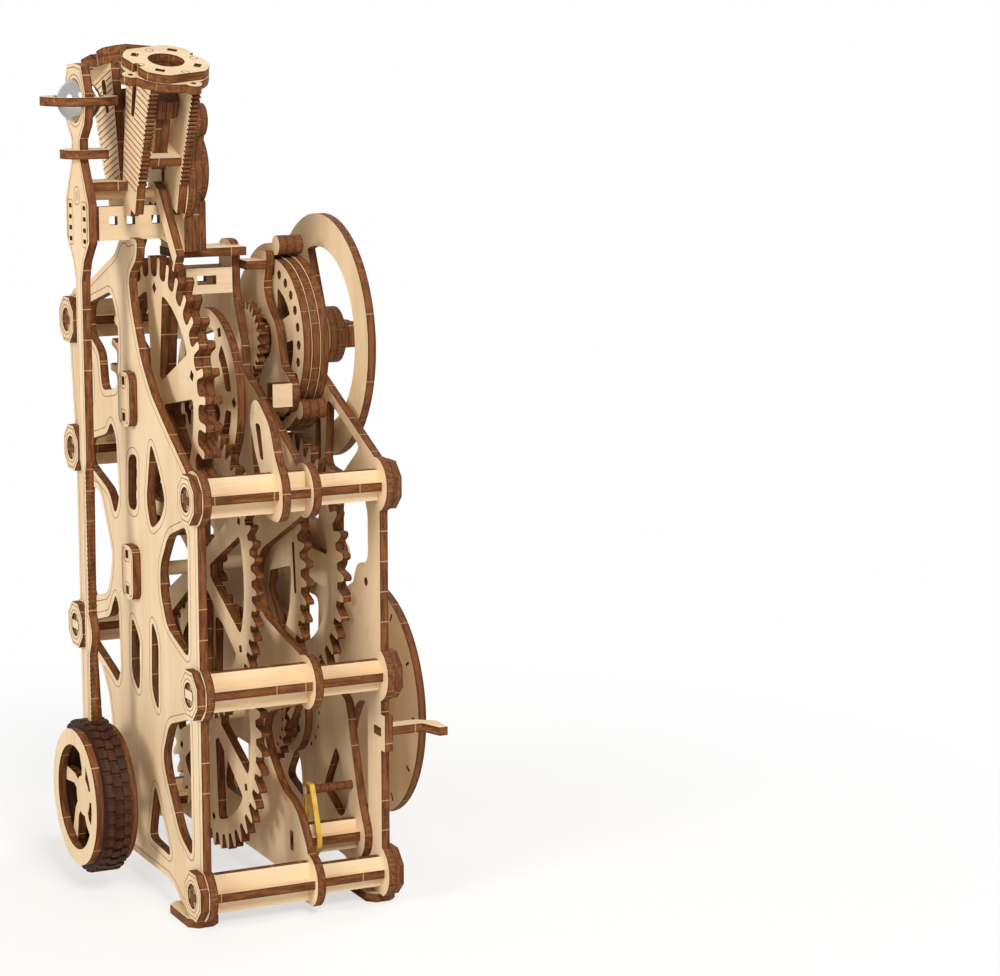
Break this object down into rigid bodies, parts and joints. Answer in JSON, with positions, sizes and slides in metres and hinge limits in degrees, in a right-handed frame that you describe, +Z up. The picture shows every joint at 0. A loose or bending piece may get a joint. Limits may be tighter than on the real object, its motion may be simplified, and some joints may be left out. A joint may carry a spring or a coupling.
{
  "type": "wooden mechanical clock kit",
  "caption": "Laser cut plywood clock kit: three-plate frame, toothed wheel train, twin cylinder top, dial ring and a wheel shaped pendulum with a ball lamp.",
  "frame": {"origin": "floor level under the middle of the clock's bounding box", "axes": "+Z up, +X along the width of the frame plates, dials at the front (-Y), pendulum behind (+Y)"},
  "size_m": [0.1425, 0.1216, 0.2938],
  "materials": {
    "birch_ply": "laser cut birch plywood, satin faces and burnt edges",
    "turned_wood": "plain turned dowel",
    "tread_ply": "stacked laser cut plywood with burnt edges outwards",
    "yellow_rubber": "matte rubber band",
    "chrome_ball": "polished steel ball"
  },
  "bodies": {
    "frame": {"plate_rear": "birch_ply", "plate_middle": "birch_ply", "plate_front": "birch_ply", "beam_upright_strips": "birch_ply", "beam_flat_strips": "birch_ply", "caps_rear": "birch_ply", "caps_front": "birch_ply", "cap_wedges": "turned_wood", "foot_pads": "birch_ply", "bearing_blocks_rear": "birch_ply", "bearing_blocks_front": "birch_ply", "caliper_plate": "birch_ply", "caliper_layers": "birch_ply", "caliper_blocks": "birch_ply", "winding_plate": "birch_ply", "bridge_strips": "birch_ply", "top_board": "birch_ply", "engine_plate_rear": "birch_ply", "engine_plate_front": "birch_ply", "engine_cover_layers": "birch_ply", "engine_crank_cover": "birch_ply", "engine_shelves": "birch_ply", "hook_lever": "birch_ply", "rubber_band": "yellow_rubber"},
    "winding": {"winding_arbor": "turned_wood", "great_wheel": "birch_ply", "cord_drum": "birch_ply", "ratchet_wheel": "birch_ply", "lower_dial": "birch_ply"},
    "click": {"ratchet_click": "birch_ply"},
    "centre": {"centre_arbor": "turned_wood", "centre_wheel": "birch_ply", "centre_pinion": "birch_ply", "minute_wheel": "birch_ply", "motion_wheel": "birch_ply", "centre_knob": "birch_ply"},
    "escape": {"escape_arbor": "turned_wood", "escape_wheel_rear": "birch_ply", "escape_wheel_front": "birch_ply", "escape_pinion": "birch_ply", "escape_disc": "birch_ply"},
    "hand": {"hand_arbor": "turned_wood", "hand_wheel": "birch_ply", "drum_plate_rear": "birch_ply", "drum_plate_front": "birch_ply", "drum_hub": "birch_ply", "dial_ring": "birch_ply", "dial_hub": "birch_ply"},
    "pendulum": {"swing_arbor": "turned_wood", "anchor": "birch_ply", "pendulum_rod": "birch_ply", "fork_shelves": "birch_ply", "lamp_ring": "birch_ply", "lamp_ball": "chrome_ball", "wheel_tread": "tread_ply", "wheel_rims": "tread_ply", "wheel_spokes": "birch_ply"},
    "piston_near": {"pistons_near": "birch_ply"},
    "piston_far": {"pistons_far": "birch_ply"},
    "stop_lever": {"stop_lever": "birch_ply"}
  },
  "joints": [
    {"name": "winding_turn", "type": "hinge", "parent": "frame", "child": "winding", "pos_m": [0, 0, 0.0573], "axis": [0, 1, 0], "continuous": true},
    {"name": "click_tilt", "type": "hinge", "parent": "frame", "child": "click", "pos_m": [-0.029, 0, 0.0703], "axis": [0, 1, 0], "range_deg": [-4, 15]},
    {"name": "centre_turn", "type": "hinge", "parent": "frame", "child": "centre", "pos_m": [0, 0, 0.1118], "axis": [0, 1, 0], "continuous": true},
    {"name": "escape_turn", "type": "hinge", "parent": "frame", "child": "escape", "pos_m": [0, 0, 0.1728], "axis": [0, 1, 0], "continuous": true},
    {"name": "hand_turn", "type": "hinge", "parent": "frame", "child": "hand", "pos_m": [0, 0, 0.191], "axis": [0, 1, 0], "continuous": true},
    {"name": "pendulum_swing", "type": "hinge", "parent": "frame", "child": "pendulum", "pos_m": [0, 0, 0.2433], "axis": [0, 1, 0], "range_deg": [-4, 4]},
    {"name": "piston_near_slide", "type": "slide", "parent": "frame", "child": "piston_near", "axis": [-0.3256, 0, 0.9455], "range_m": [-0.0014, 0.0014]},
    {"name": "piston_far_slide", "type": "slide", "parent": "frame", "child": "piston_far", "axis": [0.3256, 0, 0.9455], "range_m": [-0.0014, 0.0014]},
    {"name": "stop_lever_push", "type": "slide", "parent": "frame", "child": "stop_lever", "axis": [0, 1, 0], "range_m": [0, 0.008]}
  ],
  "couplings": [
    {"joint": "centre_turn", "follows": "winding_turn", "ratio": -5.25},
    {"joint": "escape_turn", "follows": "winding_turn", "ratio": 31.5},
    {"joint": "hand_turn", "follows": "winding_turn", "ratio": -15.75},
    {"joint": "piston_near_slide", "follows": "pendulum_swing", "m_per_rad": 0.02},
    {"joint": "piston_far_slide", "follows": "pendulum_swing", "m_per_rad": -0.02}
  ]
}
